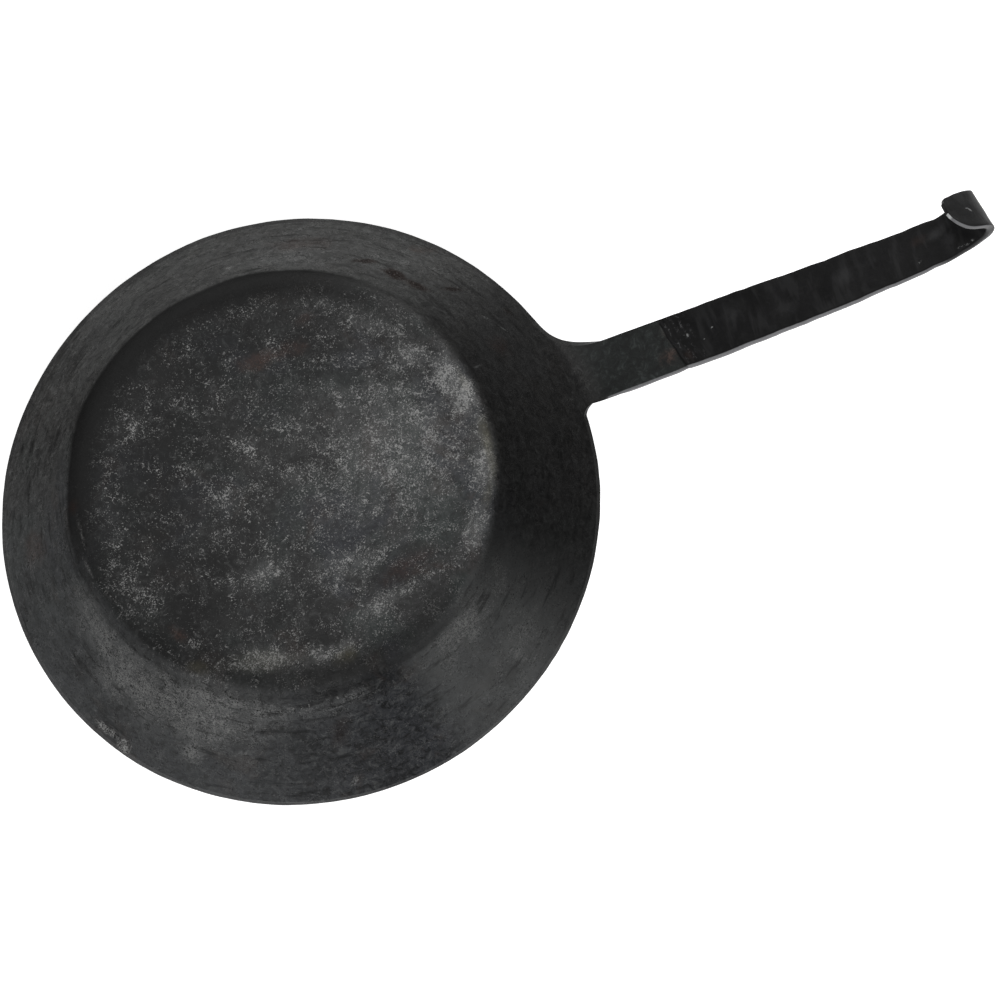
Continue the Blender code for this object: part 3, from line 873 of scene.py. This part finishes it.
@dataclass
class HandleLine:
    """The line that the handle's bar follows from the rim, up its shank and round the hook to the tip."""

    rim_radius: float = RIM_RADIUS
    rim_height: float = RIM_HEIGHT
    wall_slope: float = 61.03
    shank: float = 0.2010
    rise: tuple[float, float, float] = (21.0, 22.6, 10.5)
    heading: tuple[float, float] = (-0.2, -1.4)
    root_bend: float = 0.014
    twist: float = 24.5
    twist_at_curl: float = 20.5
    twist_length: float = 0.030
    width: tuple[float, float, float] = (0.0277, 0.0271, 0.0214)
    thickness: float = 0.006
    curl: float = 0.036
    tongue: float = 0.0126
    curl_angle: float = 139.0
    ramps: tuple[float, float] = (0.55, 0.15)
    cone: tuple[float, float] = (6.5, 7.5)
    curl_width: tuple[float, float, float] = (0.0214, 0.0200, 0.0135)
    curl_shift: tuple[float, float, float] = (0.0, 0.0034, 0.0038)
    fold_place: float = 0.6
    fold_thickness: float = 0.0042
    tip_thickness: float = 0.0022
    pitch: float = 0.0005
    stations: list[Station] = field(default_factory=list)

    def __post_init__(self) -> None:
        """Walks the line once and keeps its stations."""
        self._walk_shank()
        self._walk_curl()

    @property
    def total(self) -> float:
        """Length of the line from the rim to the tip."""
        return self.shank + self.curl + self.tongue

    def direction(self, s: float) -> Vector:
        """Unit vector along the shank at distance s from the rim."""
        u = s / self.shank
        rise = through(u, *self.rise)
        rise += (self.wall_slope - self.rise[0]) * (1.0 - ease(s / self.root_bend))
        heading = math.radians(self.heading[0] + (self.heading[1] - self.heading[0]) * u)
        flat = Vector((math.cos(heading), math.sin(heading), 0.0))
        return flat * math.cos(math.radians(rise)) + UP * math.sin(math.radians(rise))

    def _walk_shank(self) -> None:
        """Keeps the stations of the shank, which is twisted about its line."""
        count = round(self.shank / self.pitch)
        centre = Vector((self.rim_radius, 0.0, self.rim_height))
        for k in range(count + 1):
            s = k * self.pitch
            if k:
                centre = centre + self.direction(s - self.pitch / 2.0) * self.pitch
            along = self.direction(s)
            u = s / self.shank
            twist = self.twist + (self.twist_at_curl - self.twist) * u * u
            twist = math.radians(twist * ease(s / self.twist_length))
            across = Matrix.Rotation(-twist, 3, along) @ UP.cross(along).normalized()
            self.stations.append(Station(centre, along, across, along.cross(across)))

    def _walk_curl(self) -> None:
        """Adds the stations of the hook, each turned a little further about a slowly leaning axis."""
        count = round((self.curl + self.tongue) / self.pitch)
        ramp_in, ramp_out = self.ramps
        bends = []
        for k in range(count):
            s = (k + 0.5) * self.pitch / self.curl
            bends.append(max(0.0, min(1.0, s / ramp_in, (1.0 - s) / ramp_out)))
        scale = math.radians(self.curl_angle) / sum(bends)
        here = self.stations[-1]
        for k, bend in enumerate(bends):
            cone = math.radians(self.cone[0] + self.cone[1] * k / count)
            axis = (here.up * math.sin(cone) - here.across * math.cos(cone)).normalized()
            turn = Matrix.Rotation(bend * scale, 3, axis)
            along = turn @ here.along
            centre = here.centre + (here.along + along) * (self.pitch / 2.0)
            here = Station(centre, along, turn @ here.across, turn @ here.up)
            self.stations.append(here)

    def at(self, s: float) -> Station:
        """Station at distance s from the rim, between those kept."""
        place = min(max(s / self.pitch, 0.0), len(self.stations) - 1.001)
        k = int(place)
        one, other, share = self.stations[k], self.stations[k + 1], place - k
        return Station(
            one.centre.lerp(other.centre, share),
            one.along.lerp(other.along, share).normalized(),
            one.across.lerp(other.across, share).normalized(),
            one.up.lerp(other.up, share).normalized(),
        )

    def section(self, s: float) -> tuple[float, float, float]:
        """Width, thickness and sideways shift of the bar at distance s."""
        if s <= self.shank:
            return through(s / self.shank, *self.width), self.thickness, 0.0
        u = (s - self.shank) / (self.curl + self.tongue)
        width = through(u, *self.curl_width, self.fold_place)
        shift = through(u, *self.curl_shift, self.fold_place)
        return width, through(u, self.thickness, self.fold_thickness, self.tip_thickness), shift


@dataclass
class PanBowl:
    """The bowl, raised from a flat disc, with the tang that its rim is drawn out into."""

    line: HandleLine
    inner: CookingFace = field(default_factory=CookingFace)
    rim_radius: float = RIM_RADIUS
    rim_height: float = RIM_HEIGHT
    floor_radius: float = 0.110
    sheet: float = 0.0022
    plate: float = 0.006
    foot_bend: float = 0.011
    columns: int = 384
    floor_rings: int = 36
    bend_rings: int = 7
    wall_rings: int = 28
    blank_ring: float = 0.003
    hub_share: float = 0.3
    mark_cuts: int = 3
    tang_low: int = 10
    tang_high: int = 14
    tang_rows: int = 64
    sheet_note: str = "sheet_place"
    tang_length: float = 0.0680
    upper_fillet: tuple[float, float] = (0.021, 0.024)
    lower_notch: tuple[float, float] = (0.0068, 0.0092)
    notch_power: float = 1.3
    chamfer_drop: float = 0.0011
    chamfer_from: float = 0.0165
    chamfer_run: float = 0.003
    chamfer_share: float = 0.01
    sag_length: float = 0.030
    draw_out: float = 0.028
    crisp: float = 38.0
    lap_from: float = 0.0575
    lap_drop: float = 0.0045
    lap_tuck: float = 0.0004
    tuck_lead: float = 0.001
    tuck_run: float = 0.003
    wave: float = 0.00035
    facet: float = 0.00030
    dent: float = 0.00016
    pits: tuple[Patch, ...] = (
        Patch(97.0, 79.0, 8.0, 3.2, -58.0, 0.00045, 0.8, 0.9),
        Patch(104.0, 69.0, 8.0, 2.6, -52.0, 0.00040, 0.8, 0.9),
        Patch(118.0, 62.5, 4.5, 1.8, -20.0, 0.00035, 0.8, 0.9),
        Patch(86.0, 93.0, 7.0, 2.2, -25.0, 0.00020, 0.8, 0.9),
        Patch(136.0, 44.0, 5.0, 1.8, -60.0, 0.00025, 0.8, 0.9),
    )
    crusts: tuple[Patch, ...] = (
        Patch(-137.0, -50.0, 11.0, 2.6, 112.0, 0.00045, 0.6, 0.9),
        Patch(-133.5, -61.5, 5.5, 3.4, 120.0, 0.00045, 0.6, 0.9),
        Patch(-105.0, 25.0, 14.0, 1.8, 76.0, 0.00025, 0.6, 0.9),
    )

    @property
    def slope(self) -> float:
        """Slope of the straight wall, in radians."""
        return math.atan2(self.rim_height - self.sheet, self.rim_radius - self.floor_radius)

    @property
    def rings(self) -> int:
        """Rings of the blank from the hub to the rim."""
        return self.floor_rings + self.bend_rings + self.wall_rings

    @property
    def blank_rim(self) -> float:
        """Radius of the blank's disc."""
        return self.blank_ring * (self.rings + 1)

    def blank(self) -> Workpiece:
        """Make the flat blank: a disc of even rings, with the tang's strip drawn out of its edge.

        Returns:
            The blank, still in edit mode.
        """
        rim = self.blank_rim
        Workpiece.clear_selection()
        bpy.ops.mesh.primitive_circle_add(vertices=self.columns, radius=self.blank_ring, fill_type="TRIFAN")
        work = Workpiece("pan_bowl_forged")
        work.select(Kind.EDGES, lambda edge: edge.is_boundary)
        bpy.ops.mesh.extrude_edges_move()
        grow = rim / self.blank_ring
        bpy.ops.transform.resize(value=(grow, grow, 1.0), center_override=(0.0, 0.0, 0.0))
        inner = self.blank_ring * 1.5
        work.select(Kind.EDGES, lambda e: max(v.co.length for v in e.verts) > inner > min(v.co.length for v in e.verts))
        bpy.ops.mesh.subdivide(number_cuts=self.rings - 1)
        work.select(Kind.EDGES, lambda e: e.is_boundary and all(self.in_tang(v.co) for v in e.verts))
        bpy.ops.mesh.extrude_edges_move()
        bpy.ops.transform.translate(value=(rim, 0.0, 0.0))
        work.select(Kind.EDGES, lambda e: self.step_x(e) > rim * 0.9 and e.calc_length() < rim * 1.01)
        bpy.ops.mesh.subdivide(number_cuts=self.tang_rows - 1)
        return work

    @staticmethod
    def step_x(edge: bmesh.types.BMEdge) -> float:
        """How far an edge goes along X."""
        return abs(edge.verts[0].co.x - edge.verts[1].co.x)

    def column_at(self, angle: float) -> int:
        """Column of the blank at an angle in radians, counted from the one on +X."""
        return round(math.degrees(angle) / (360.0 / self.columns))

    def column(self, place: Vector) -> int:
        """Column of a point of the blank's disc."""
        return self.column_at(math.atan2(place.y, place.x))

    def share_of(self, column: int) -> float:
        """Share of the way across the tang, from its lower edge, at which a column lies."""
        return (column + self.tang_low) / (self.tang_low + self.tang_high)

    def strip_place(self, place: Vector) -> tuple[float, float]:
        """Place of a point of the blank's strip on the tang.

        Args:
            place: The point on the flat blank.

        Returns:
            Its distance from the rim, and its share of the way across.
        """
        rim = self.blank_rim
        angle = math.asin(max(-1.0, min(1.0, place.y / rim)))
        u = max(0.0, (place.x - rim * math.cos(angle)) / rim)
        return self.tang_length * self.spacing(u), self.share_of(self.column_at(angle))

    def in_tang(self, place: Vector) -> bool:
        """True for a point of the blank's rim in the tang's stretch."""
        return place.x > 0.0 and -self.tang_low <= self.column(place) <= self.tang_high

    def bearing(self, column: int) -> float:
        """Real angle round the pan, in radians, of a column of the blank."""
        low, high = self.tang_edges(0.0)
        first, last = math.asin(low / self.rim_radius), math.asin(high / self.rim_radius)
        if -self.tang_low <= column <= self.tang_high:
            return math.asin((low + (high - low) * self.share_of(column)) / self.rim_radius)
        rest = self.columns - self.tang_low - self.tang_high
        steps = (column - self.tang_high) % self.columns
        return last + (2.0 * math.pi + first - last) * steps / rest

    def tang_edges(self, s: float) -> tuple[float, float]:
        """Distances across, from the bar's line, of the tang's two edges at distance s from the rim."""

        def fillet(across: float, along: float, power: float) -> float:
            """How far a concave corner still stands out, a round one at power 2 and a cut one at power 1."""
            lag = max(0.0, 1.0 - s / along)
            return across * (1.0 - (1.0 - lag**power) ** (1.0 / power))

        half = through(s / self.line.shank, *self.line.width) / 2.0
        return -half - fillet(*self.lower_notch, self.notch_power), half + fillet(*self.upper_fillet, 2.0)

    def profile(self, ring: int) -> tuple[float, float]:
        """Radius and height of the inner face at a ring of the blank."""
        setback = self.foot_bend * math.tan(self.slope / 2.0)
        flat = self.floor_radius - setback
        if ring <= self.floor_rings:
            return flat * ring / self.floor_rings, self.sheet
        ring -= self.floor_rings
        turn = self.slope * min(ring, self.bend_rings) / self.bend_rings
        radius = flat + self.foot_bend * math.sin(turn)
        height = self.sheet + self.foot_bend * (1.0 - math.cos(turn))
        share = max(0, ring - self.bend_rings) / self.wall_rings
        return radius + (self.rim_radius - radius) * share, height + (self.rim_height - height) * share

    def raised(self, place: Vector) -> Vector:
        """Where a point of the flat blank's disc goes when the bowl is raised."""
        ring = round(place.length / self.blank_ring) - 1
        if ring < 0:
            return Vector((0.0, 0.0, self.sheet))
        radius, height = self.profile(ring) if ring else (self.profile(1)[0] * self.hub_share, self.sheet)
        angle = self.bearing(self.column(place))
        return Vector((radius * math.cos(angle), radius * math.sin(angle), height))

    def still_rim(self, s: float) -> float:
        """How much of the rim's round shape is left in the tang at distance s from the rim."""
        return 1.0 - ease(s / self.sag_length)

    def lap(self, s: float) -> float:
        """How far the tang's upper face dips below the bar at distance s from the rim."""
        return self.lap_drop * max(0.0, s - self.lap_from) / (self.tang_length - self.lap_from)

    def drawn_out(self, s: float, share: float, hammered_edge: bool = True) -> Vector:
        """Point of the tang's upper face.

        Args:
            s: Distance from the rim.
            share: Share of the way across.
            hammered_edge: Whether the lower edge is hammered down.

        Returns:
            The point.
        """
        low, high = self.tang_edges(s)
        tuck = self.lap_tuck * ease((s - self.lap_from + self.tuck_lead) / self.tuck_run)
        across = (low + tuck) + (high - low - 2.0 * tuck) * share
        here = self.line.at(s)
        sag = self.rim_radius - math.sqrt(self.rim_radius**2 - across * across)
        drop = self.lap(s)
        if hammered_edge and share < self.chamfer_share:
            drop += self.chamfer_drop * ease((s - self.chamfer_from) / self.chamfer_run)
        return here.centre + here.across * across - Vector((sag * self.still_rim(s), 0.0, 0.0)) - here.up * drop

    def forge(self, place: Vector) -> Vector:
        """Where any point of the blank goes."""
        if place.length <= self.blank_rim * 1.0001:
            return self.raised(place)
        return self.drawn_out(*self.strip_place(place))

    @staticmethod
    def spacing(u: float) -> float:
        """Share of the tang's length at a share of its rows, which stand closest at the rim."""
        return u * u

    def sheet_place(self, place: Vector) -> Vector:
        """Note a point of the blank by its place on the sheet.

        Args:
            place: The point on the flat blank.

        Returns:
            Its distance past the rim (0 at the rim, -1 inside it), its share of the way across the tang, and 0.
        """
        rim = self.blank_rim
        if place.length < rim * 0.9999 or (place.length <= rim * 1.0001 and not self.in_tang(place)):
            return Vector((-1.0, 0.0, 0.0))
        return Vector((*self.strip_place(place), 0.0))

    def beneath(self, s: float, share: float) -> Vector:
        """Point of the tang's under face below a point of its upper face."""
        above = self.drawn_out(s, share, hammered_edge=False)
        low, high = self.tang_edges(s)
        across = low + (high - low) * share
        here = self.line.at(s)
        still_rim = self.still_rim(s)
        bearing = math.asin(max(-1.0, min(1.0, across / self.rim_radius)))
        lean, fall = math.sin(self.slope), -math.cos(self.slope)
        wall = Vector((math.cos(bearing) * lean, math.sin(bearing) * lean, fall))
        down = (wall * still_rim - here.up * (1.0 - still_rim)).normalized()
        depth = self.sheet + (self.plate - self.sheet) * ease(s / self.draw_out)
        return above + down * (depth - self.lap(s))

    def build(self) -> bpy.types.Object:
        """Raise the bowl and give it its wall thickness.

        Returns:
            The finished mesh object.
        """
        work = self.blank()
        work.move_all(self.forge, self.sheet_note, self.sheet_place)
        bpy.ops.mesh.select_all(action="SELECT")
        bpy.ops.mesh.remove_doubles(threshold=1e-6)
        bpy.ops.mesh.normals_make_consistent(inside=False)
        work.select(Kind.FACES, lambda face: self.marked(face.calc_center_median()))
        bpy.ops.mesh.subdivide(number_cuts=self.mark_cuts)
        obj = work.close()
        for material in (self.inner.dress(), SootedFace().dress()):
            obj.data.materials.append(material)
        self.face_up(obj)
        self.thicken(obj)
        self.stain(obj)
        self.weather(obj)
        bpy.ops.object.shade_smooth_by_angle(angle=math.radians(self.crisp))
        return obj

    def marked(self, place: Vector) -> bool:
        """True near a small mark, where the sheet needs a finer mesh."""
        small = self.inner.scabs + self.inner.scars + self.inner.tang_marks + self.inner.nicks
        return any(spot_reach(spot, place) < MARK_REACH for spot in self.pits + self.crusts + small)

    def stain(self, obj: bpy.types.Object) -> None:
        """Keep, for each kind of stain and for the painted glints, the nearest place's reach, strength and softness at
        every vertex.

        Args:
            obj: The bowl with its wall thickness.
        """
        count = len(obj.data.vertices)
        places = np.empty(count * 3, np.float32)
        obj.data.vertices.foreach_get("co", places)
        x, y = places.reshape(-1, 3)[:, 0] * MM, places.reshape(-1, 3)[:, 1] * MM
        for name, spots in self.inner.stains().items():
            best = np.full(count, -np.inf)
            kept = np.zeros((count, 3), np.float32)
            for spot in spots:
                turn = math.radians(spot.turn)
                ahead = ((x - spot.x) * math.cos(turn) + (y - spot.y) * math.sin(turn)) / spot.long
                aside = ((y - spot.y) * math.cos(turn) - (x - spot.x) * math.sin(turn)) / spot.wide
                reach = np.hypot(ahead, aside)
                rank = np.where(reach < 1.0, (1.0 - reach) * spot.strength, 1.0 - reach)
                nearer = rank > best
                best = np.where(nearer, rank, best)
                kept[nearer, 0] = np.minimum(reach, 9.0)[nearer]
                kept[nearer, 1:] = spot.strength, spot.soft
            attribute = obj.data.attributes.new(name, "FLOAT_VECTOR", "POINT")
            attribute.data.foreach_set("vector", kept.ravel())

    @staticmethod
    def face_up(obj: bpy.types.Object) -> None:
        """Turns the open sheet's faces so that they look up, into the bowl."""
        middle = min(obj.data.polygons, key=lambda face: face.center.xy.length)
        if middle.normal.z < 0.0:
            obj.data.flip_normals()

    def thicken(self, obj: bpy.types.Object) -> None:
        """Gives the sheet its thickness on the outside, and the tang the thickness that it is drawn out to.

        Args:
            obj: The open sheet.
        """
        count = len(obj.data.vertices)
        obj.vertex_groups.new(name="outside")
        wall = obj.modifiers.new("wall", "SOLIDIFY")
        wall.thickness = self.sheet
        wall.offset = -1.0
        wall.use_even_offset = False
        wall.shell_vertex_group = "outside"
        wall.material_offset = 1
        wall.material_offset_rim = 0
        Workpiece.apply(obj, "wall")
        notes = obj.data.attributes[self.sheet_note].data
        for k in range(count):
            s, share, _ = notes[k].vector
            if s >= 0.0:
                obj.data.vertices[count + k].co = self.beneath(s, share)
        obj.data.update()

    def weather(self, obj: bpy.types.Object) -> None:
        """Leave the hammer's marks: slow waves in the sheet, dents on its outer face, pits and crusts inside.

        Args:
            obj: The bowl with its wall thickness.
        """
        mesh = obj.data
        group = obj.vertex_groups["outside"].index
        places = [vert.co.copy() for vert in mesh.vertices]
        normals = [entry.vector.copy() for entry in mesh.vertex_normals]
        outer = [any(g.group == group and g.weight > 0.5 for g in vert.groups) for vert in mesh.vertices]
        moved: list[float] = []
        for place, normal, is_outer in zip(places, normals, outer):
            shift = self.hammered(place, is_outer)
            if not is_outer:
                shift -= sum(self.bite(spot, place) for spot in self.pits)
                shift += sum(self.bite(spot, place) for spot in self.crusts)
            moved.extend(place + normal * shift)
        mesh.vertices.foreach_set("co", moved)
        mesh.update()

    def hammered(self, place: Vector, is_outer: bool) -> float:
        """How far the hammer moved a point of the sheet along its normal."""
        x, y, z = place
        wave = self.wave * lump(x * 28.0, y * 28.0, 3.1 + z * 12.0)
        if is_outer:
            facet = self.facet * (abs(lump(x * 80.0, y * 80.0, 1.3 + z * 80.0)) - 0.3)
            return (wave + facet) * ease((z - 0.0008) / 0.004)
        dent = self.dent * lump(x * 95.0, y * 95.0, 7.7 + z * 95.0)
        return (wave + dent) * (0.4 + 0.6 * ease((z - 0.004) / 0.01))

    @staticmethod
    def bite(spot: Patch, place: Vector) -> float:
        """Depth of a broken-edged mark at a point."""
        reach = spot_reach(spot, place)
        if reach > MARK_REACH:
            return 0.0
        x, y, _ = place * MM
        reach += spot.ragged * 0.5 * lump(x * 0.55, y * 0.55, 6.0)
        grain = 0.55 + 0.9 * lump(x * 0.9, y * 0.9, 2.0) + 0.4 * lump(x * 2.1, y * 2.1, 8.0)
        return spot.strength * ease((1.0 - reach) / spot.soft) * grain


@dataclass
class HandleBar:
    """The flat bar: welded over the tang, hammered along its length, its end curled to a hook."""

    line: HandleLine
    start: float = 0.0580
    arris: float = 0.0015
    edge: float = 0.0006
    loops: int = 16
    strips: int = 26
    bar_note: str = "bar_place"
    upper_corner: tuple[float, float] = (0.0024, 0.72)
    lower_corner: tuple[float, float] = (0.0085, 0.10)
    belly: float = 0.0017
    belly_from: float = 0.2240
    belly_past: float = 0.004
    layers: int = 4
    seam_skew: float = 15.0
    ripple: float = 0.00020
    ripple_pitch: float = 0.0026
    ripple_reach: float = 0.013
    seam_wander: float = 0.0007
    seam_reach: float = 0.030
    edge_waves: tuple[float, float] = (0.00034, 0.00018)
    facets: tuple[float, float] = (0.00042, 0.00010)
    facet_from: float = 0.006

    def blank(self) -> Workpiece:
        """Make the straight bar, its long edges eased and its faces cut into a fine grid.

        Returns:
            The straight bar, still in edit mode: x is the distance from its start, y runs from -0.5 to 0.5 of
            its width, and z from 0 to -1 of its thickness, all to scale.
        """
        length = self.line.total - self.start
        width, thickness = self.line.width[0], self.line.thickness
        Workpiece.clear_selection()
        middle = (length / 2.0, 0.0, -thickness / 2.0)
        bpy.ops.mesh.primitive_cube_add(size=1.0, location=middle, scale=(length, width, thickness))
        bpy.ops.object.transform_apply(location=True, rotation=True, scale=True)
        work = Workpiece("handle_bar_forged")
        work.select(Kind.EDGES, lambda e: self.runs(e, 0) and self.is_arris(e.verts[0].co))
        bpy.ops.mesh.bevel(offset=self.arris, segments=2, affect="EDGES")
        work.select(Kind.EDGES, lambda e: self.runs(e, 0) and self.is_corner(e.verts[0].co))
        bpy.ops.mesh.bevel(offset=self.edge, segments=2, affect="EDGES")
        for _ in range(2):
            work.select(Kind.EDGES, lambda e: self.runs(e, 0))
            bpy.ops.mesh.subdivide(number_cuts=self.loops)
        work.select(Kind.EDGES, lambda e: self.runs(e, 1) and e.calc_length() > width * 0.5)
        bpy.ops.mesh.subdivide(number_cuts=self.strips)
        work.select(Kind.EDGES, lambda e: self.runs(e, 2) and e.calc_length() > thickness * 0.4)
        bpy.ops.mesh.subdivide(number_cuts=self.layers)
        return work

    def is_arris(self, place: Vector) -> bool:
        """True for a point on the upper long edge of the bar's lower side, the one that is eased most."""
        return place.y < 0.0 and place.z > -self.line.thickness / 2.0

    def is_corner(self, place: Vector) -> bool:
        """True for a point on one of the straight bar's three other long edges."""
        half, thickness = self.line.width[0] / 2.0, self.line.thickness
        on_side = abs(abs(place.y) - half) < 1e-5
        return on_side and (place.y > half * 0.98 or place.z < -thickness * 0.99)

    @staticmethod
    def runs(edge: bmesh.types.BMEdge, axis: int) -> bool:
        """True for an edge that runs along one axis only."""
        step = edge.verts[1].co - edge.verts[0].co
        return abs(step[axis]) > 0.999 * step.length > 0.0

    @property
    def belly_to(self) -> float:
        """Distance at which the belly of the tongue's lower edge would end, a little past the tip."""
        return self.line.total + self.belly_past

    def tip_share(self, s: float, share: float) -> float:
        """How much of its half width the bar still has near its tip, whose lower corner is the rounder one."""
        length, least = self.upper_corner if share > 0.0 else self.lower_corner
        left = (self.line.total - s) / length
        return 1.0 if left >= 1.0 else max(least, math.sqrt(max(0.0, 1.0 - (1.0 - left) ** 2)))

    def bent(self, place: Vector) -> Vector:
        """Where a point of the straight bar goes when the bar is hammered, twisted and curled."""
        width0, thickness0 = self.line.width[0], self.line.thickness
        share = place.y / width0
        depth = place.z / thickness0
        askew = -math.tan(math.radians(self.seam_skew)) * place.y + self.seam_wander * lump(share * 4.0, 1.0, 7.0)
        s = self.start + place.x + askew * (1.0 - ease(place.x / self.seam_reach))
        width, thickness, shift = self.line.section(s)
        width *= self.tip_share(s, share)
        belly = self.belly * math.sin(math.pi * ease((s - self.belly_from) / (self.belly_to - self.belly_from)))
        slow, quick = self.edge_waves
        edge_wave = slow * lump(s * 85.0, 11.0 if share > 0 else 4.0, 0.5) + quick * lump(s * 210.0, 3.0, share)
        across = share * width + shift + edge_wave * (2.0 * share) + belly * 2.0 * min(share, 0.0)
        facet = self.facets[0] * lump(s * 92.0, share * 1.8, 5.5 if depth > -0.5 else 9.5)
        facet += self.facets[1] * lump(s * 230.0, share * 6.0, 2.5 + depth)
        facet = facet * ease(place.x / self.facet_from) + self.weld_ripple(place.x, share, depth)
        normal = depth * thickness + facet * (1.0 if depth > -0.5 else -1.0) * abs(2.0 * depth + 1.0)
        here = self.line.at(s)
        return here.centre + here.across * across + here.up * normal

    def bar_place(self, place: Vector) -> Vector:
        """Note a point of the straight bar: distance past the rim, distance across and depth, all in metres."""
        return Vector((self.start + place.x, place.y, place.z))

    def weld_ripple(self, past: float, share: float, depth: float) -> float:
        """Height of the weld's wavy lines on the upper face, at a distance past the seam."""
        if depth < -0.5:
            return 0.0
        wobble = 1.6 * lump(share * 3.0, past * 140.0, 3.3) + 0.8 * lump(share * 9.0, past * 300.0, 1.1)
        fade = ease(past / 0.001) * (1.0 - ease(past / self.ripple_reach))
        rolled = math.sin(2.0 * math.pi * past / self.ripple_pitch + 2.0 * wobble)
        return self.ripple * fade * rolled * (0.6 + 0.8 * lump(share * 7.0, past * 260.0, 5.5))

    def build(self) -> bpy.types.Object:
        """Hammer and bend the straight bar.

        Returns:
            The finished mesh object.
        """
        work = self.blank()
        work.move_all(self.bent, self.bar_note, self.bar_place)
        bpy.ops.mesh.select_all(action="SELECT")
        bpy.ops.mesh.normals_make_consistent(inside=False)
        obj = work.close()
        obj.data.shade_smooth()
        return obj


# ---------------------------------------------------------------------------------------------------------------
# Studio
# ---------------------------------------------------------------------------------------------------------------


@dataclass(frozen=True)
class SoftLight:
    """A square soft box that looks at the pan."""

    name: str
    azimuth: float
    elevation: float
    distance: float
    side: float
    watts: float

    def hang(self, target: Vector) -> None:
        """Adds the light.

        Args:
            target: The point it looks at.
        """
        a, e = math.radians(self.azimuth), math.radians(self.elevation)
        way = Vector((math.cos(e) * math.cos(a), math.cos(e) * math.sin(a), math.sin(e)))
        data = bpy.data.lights.new(self.name, "AREA")
        data.shape = "SQUARE"
        data.size = self.side
        data.energy = self.watts
        light = bpy.data.objects.new(self.name, data)
        bpy.context.scene.collection.objects.link(light)
        light.location = target + way * self.distance
        light.rotation_euler = way.to_track_quat("Z", "Y").to_euler()


@dataclass(frozen=True)
class Studio:
    """Camera, soft lights and a pale glowing table."""

    target: tuple[float, float, float] = (0.09314, -0.05004, 0.03534)
    distance: float = 1.8
    azimuth: float = 103.79
    elevation: float = 71.76
    roll: float = -220.85
    lens: float = 126.516
    sky: float = 0.30
    table_side: float = 6.0
    table_gap: float = 0.0003
    table_tone: Colour = (0.86, 0.86, 0.86, 1.0)
    table_rough: float = 0.9
    table_glow: float = 0.55
    sensor: float = 36.0
    sight: float = 20.0
    lights: tuple[SoftLight, ...] = (
        SoftLight("front_softbox", 241.0, 40.0, 2.4, 2.6, 62.0),
        SoftLight("rear_softbox", 61.0, 40.0, 2.4, 2.6, 42.0),
    )

    def place_camera(self) -> None:
        """Adds the camera and makes it the scene's."""
        a, e, roll = (math.radians(v) for v in (self.azimuth, self.elevation, self.roll))
        back = Vector((math.cos(e) * math.cos(a), math.cos(e) * math.sin(a), math.sin(e)))
        level = (-back).cross(UP).normalized()
        upright = level.cross(-back)
        right = level * math.cos(roll) + upright * math.sin(roll)
        top = upright * math.cos(roll) - level * math.sin(roll)
        data = bpy.data.cameras.new("studio_camera")
        data.lens = self.lens
        data.sensor_width = self.sensor
        data.clip_end = self.sight
        camera = bpy.data.objects.new("studio_camera", data)
        bpy.context.scene.collection.objects.link(camera)
        turn = Matrix((right, top, back)).transposed().to_4x4()
        camera.matrix_world = Matrix.Translation(Vector(self.target) + back * self.distance) @ turn
        bpy.context.scene.camera = camera

    def lay_table(self) -> None:
        """Adds the pale table, lit faintly from inside, so that shadows on it stay light."""
        Workpiece.clear_selection()
        bpy.ops.mesh.primitive_plane_add(size=self.table_side, location=(0.0, 0.0, -self.table_gap))
        table = bpy.context.object
        table.name = "table_top"
        bench = Bench("pale_table")
        fixed = {"Base Color": self.table_tone, "Roughness": self.table_rough}
        glow = {"Emission Color": WHITE, "Emission Strength": self.table_glow}
        finish = bench.surface({**fixed, **glow}, {})
        table.data.materials.append(finish)

    def set_up(self) -> None:
        """Makes the sky, hangs the lights, lays the table and places the camera."""
        world = bpy.data.worlds.new("pale_room")
        world.use_nodes = True
        background = world.node_tree.nodes["Background"]
        background.inputs["Color"].default_value = WHITE
        background.inputs["Strength"].default_value = self.sky
        bpy.context.scene.world = world
        bpy.context.scene.view_settings.view_transform = "Standard"
        for light in self.lights:
            light.hang(Vector(self.target))
        self.lay_table()
        self.place_camera()


def main() -> None:
    """Builds the pan piece by piece, dresses it, and sets up the studio."""
    logging.basicConfig(level=logging.INFO, format="%(message)s")
    line = HandleLine()
    bowl = PanBowl(line).build()
    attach(bowl, "root")
    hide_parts("pan_body")
    LOG.info("%s: %d faces", bowl.name, len(bowl.data.polygons))
    bar = HandleBar(line).build()
    bar.data.materials.append(ForgeBlack().dress())
    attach(bar, "root")
    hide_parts("handle_bar")
    LOG.info("%s: %d faces", bar.name, len(bar.data.polygons))
    Studio().set_up()
    bpy.context.view_layer.update()


if __name__ == "__main__":
    main()
